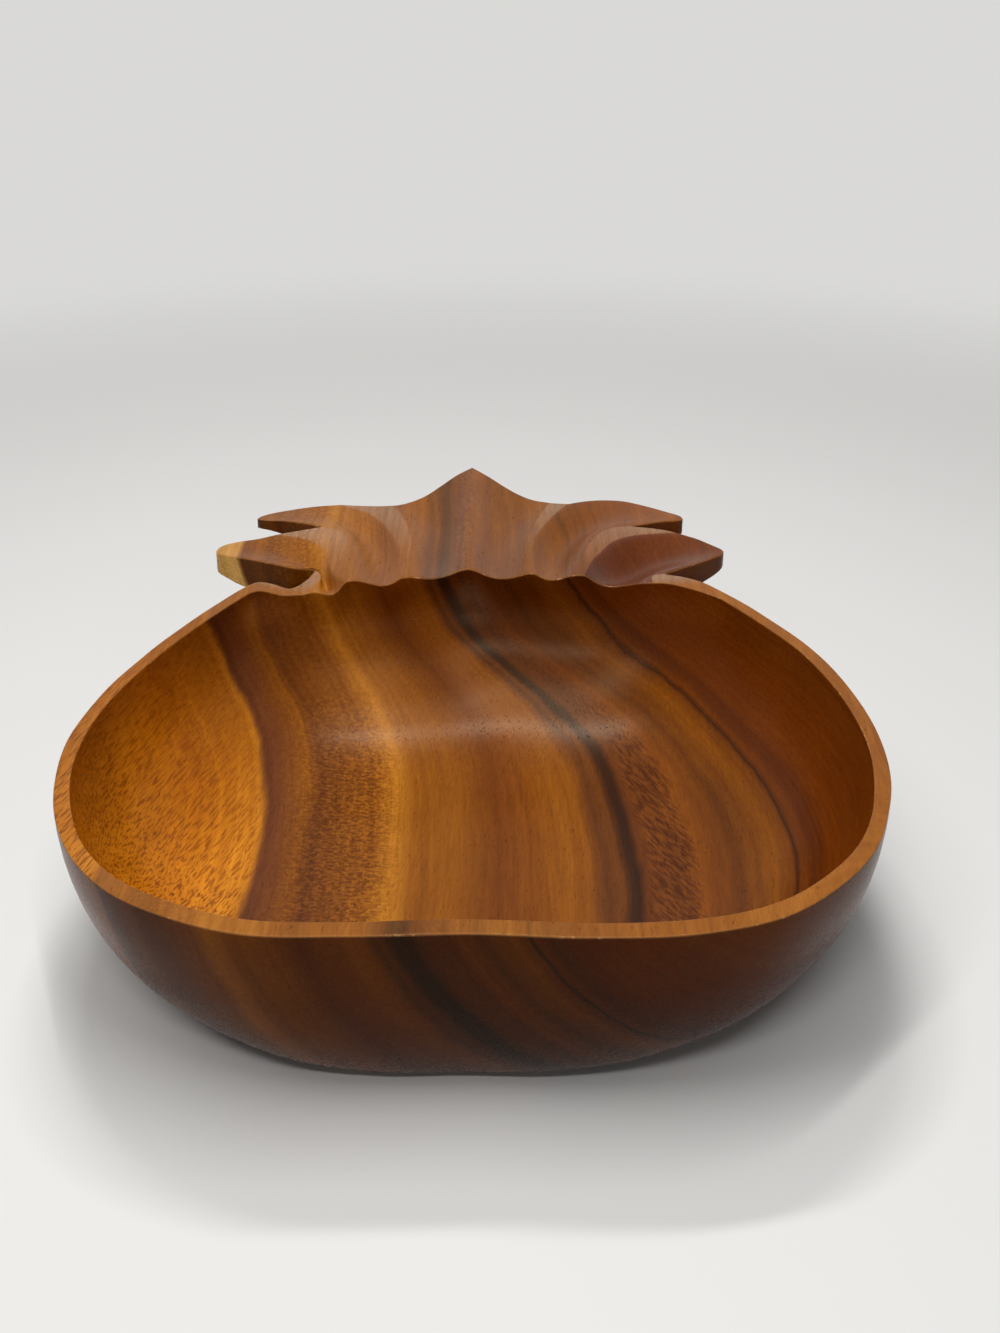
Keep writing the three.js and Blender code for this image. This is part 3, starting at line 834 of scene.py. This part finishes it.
pores = spread(noise(stretched((1.9, 0.3, 1.9)), 1.0, 0.5), 0.66, 0.74)
pore_shade = spread(pores, 0.0, 1.0, 1.0, 0.6)

# The outside is darker, the gold most of all: partly a stain, and partly painted shade that stands in for the
# dark ground under it. The lower right leaf is oiled darker. The sapwood tip's side is painted lighter:
# painted light.
STAIN_AND_SHADE = 0.44
OILED = 0.47
stain_and_shade_share = product(outer_here, spread(at_tip, 0.0, 1.0, 1.0, 0.2))
# Painted shade: the outside's darkening stands partly for a stain and partly for shade from a dark ground.
stain_and_painted_shade = spread(stain_and_shade_share, 0.0, 1.0, 1.0, STAIN_AND_SHADE)
oil_shade = spread(rubbed_and_lit_here, -1.0, 0.0, OILED, 1.0)
gold_stain_and_painted_shade = rest(product(gold, stain_and_shade_share, 0.4))
# Painted light: the sapwood tip's side is brightened, as if lit like the top.
tip_side_painted_light = calc("ADD", 1.0, product(at_tip, outer_here, 3.2))

# The hollow's back wall is painted darker: painted shade, as this upright wall gets less light from above. A
# band on the heart's side of the dark line is darker still, partly darker heartwood and partly painted shade.
BAND_MIDDLE = 119.0
BAND_REACH = 13.0
band = bell(calc("DIVIDE", calc("SUBTRACT", ring, BAND_MIDDLE), BAND_REACH))
at_back_wall = product(spread(along, -40.0, 40.0), spread(up, 15.0, 55.0))
in_hollow = rest(calc("MAXIMUM", spread(rubbed_and_lit_here, 0.0, 0.1), outer_here))
# Painted shade on the hollow's back wall.
back_wall_painted_shade = rest(product(at_back_wall, calc("ADD", product(band, 0.3), 0.3), in_hollow))

# Darker wood is also redder.
shade = product(
    growth_shade,
    blotch_shade,
    fibre_shade,
    fleck_shade,
    gold_painted_light_and_shade,
    ripple_shade,
    pore_shade,
    stain_and_painted_shade,
    oil_shade,
    gold_stain_and_painted_shade,
    tip_side_painted_light,
    back_wall_painted_shade,
)
colour = scaled(stripes, vector(shade, calc("POWER", shade, 1.3), calc("POWER", shade, 1.8)))

# The edges of the top are painted paler, more so in patches: partly a painted highlight where light catches
# the rounded edges, and partly wood bared by knocks.
BARE_WOOD_AND_GLINT = (196, 142, 92)
knocks = spread(noise(stretched((0.16, 0.16, 0.16)), 4.0, 0.7), 0.58, 0.66, 0.2, 0.85)
bare_and_glint = product(calc("POWER", from_mesh("edge_wear_and_glint"), 2.0), knocks)
colour = mixed(bare_and_glint, colour, linear(BARE_WOOD_AND_GLINT))
tree.links.new(colour, shader.inputs["Base Color"])

# The satin surface is rougher in the pores and where it is rubbed, and its fibres and pores can be felt.
roughness = calc("ADD", spread(fibres, 0.3, 0.7, 0.19, 0.24), product(pores, 0.2))
roughness = calc("ADD", roughness, spread(rubbed_and_lit_here, 0.3, 0.6, 0.06, 0.2))
tree.links.new(roughness, shader.inputs["Roughness"])
height = calc("SUBTRACT", product(fibres, 0.35), pores)
bump = add_node("ShaderNodeBump", {"Strength": 0.25, "Distance": 0.0003, "Height": height})
tree.links.new(bump.outputs[0], shader.inputs["Normal"])
shader.inputs["Specular IOR Level"].default_value = 0.13
shader.inputs["Specular Tint"].default_value = (1, 0.76, 0.48, 1)
bowl_mesh.materials.append(wood)


# Floor
# A plain pale sheet of paper under the bowl, which isn't part of the object. It sends less light back to
# the bowl than it shows, and away from the bowl it shows one even pale tone.
FLOOR_HALF = 8
PALE = (0.7, 0.695, 0.68, 1)
PAPER_SHOWN = (0.8, 0.79, 0.77, 1)
PAPER_UNSEEN = (0.3, 0.295, 0.285, 1)
EVEN_TONE_FROM = 0.4
EVEN_TONE_TO = 1.0


def in_picture():
    """1 for what the camera sees, straight, in gloss or through glass, and 0 for what only sends light."""
    ray = add_node("ShaderNodeLightPath", {}).outputs
    seen = calc("MAXIMUM", ray["Is Camera Ray"], ray["Is Glossy Ray"])
    return calc("MAXIMUM", seen, ray["Is Transmission Ray"])


corners = [(-1, -1), (1, -1), (1, 1), (-1, 1)]
floor_mesh = bpy.data.meshes.new("floor")
floor_mesh.from_pydata([(x * FLOOR_HALF, y * FLOOR_HALF, 0) for x, y in corners], [], [(0, 1, 2, 3)])
floor = bpy.data.objects.new("floor", floor_mesh)
bpy.context.scene.collection.objects.link(floor)
paper = bpy.data.materials.new("pale_paper")
paper.use_nodes = True
tree = paper.node_tree
shader = tree.nodes["Principled BSDF"]
seen = in_picture()
tree.links.new(mixed(seen, PAPER_UNSEEN, PAPER_SHOWN), shader.inputs["Base Color"])
shader.inputs["Roughness"].default_value = 0.9
shader.inputs["Specular IOR Level"].default_value = 0.2
position = add_node("ShaderNodeTexCoord", {}).outputs["Object"]
away = add_node("ShaderNodeVectorMath", {0: position}, operation="LENGTH").outputs["Value"]
far = product(seen, spread(away, EVEN_TONE_FROM, EVEN_TONE_TO, way="SMOOTHSTEP"))
glow = add_node("ShaderNodeEmission", {"Color": PALE}).outputs[0]
paper_mix = add_node("ShaderNodeMixShader", {0: far, 1: shader.outputs[0], 2: glow}).outputs[0]
tree.links.new(paper_mix, tree.nodes["Material Output"].inputs["Surface"])
floor_mesh.materials.append(paper)


# Lamps
# Four soft strips hang over the bowl as a frame, and a small lamp stands behind the camera.
def panel(name, stand, wide, high, power, aim=(0, 0, 0)):
    """A soft rectangular lamp, turned to face a point. Lengths are in metres and its power is in watts."""
    data = bpy.data.lights.new(name, "AREA")
    data.shape = "RECTANGLE"
    data.size = wide
    data.size_y = high
    data.energy = power
    lamp = bpy.data.objects.new(name, data)
    lamp.location = stand
    way = np.array(stand) - np.array(aim)
    tipped = np.arctan2(np.hypot(way[0], way[1]), way[2])
    turned = np.arctan2(way[0], -way[1])
    lamp.rotation_euler = (tipped, 0, turned)
    bpy.context.scene.collection.objects.link(lamp)


panel("over_back", (-0.09, 0.42, 1.2), 0.43, 0.07, 5.5)
panel("over_front", (-0.07, -0.95, 0.95), 0.43, 0.06, 3)
panel("over_left", (-0.22, -0.27, 1.15), 0.075, 1.25, 5.4)
panel("over_right", (0.09, -0.27, 1.15), 0.03, 1.25, 3.8)
panel("front_lamp", (0.12, -1.45, 0.5), 0.3, 0.05, 1.5, aim=(0, 0, 0.03))


# Room
# The room around gives little light and shows the floor's pale tone.
ROOM_LIGHT = (0.05, 0.05, 0.05, 1)
room = bpy.data.worlds.new("room")
room.use_nodes = True
tree = room.node_tree
tree.links.new(mixed(in_picture(), ROOM_LIGHT, PALE), tree.nodes["Background"].inputs["Color"])
bpy.context.scene.world = room

bpy.context.scene.view_settings.view_transform = "Standard"
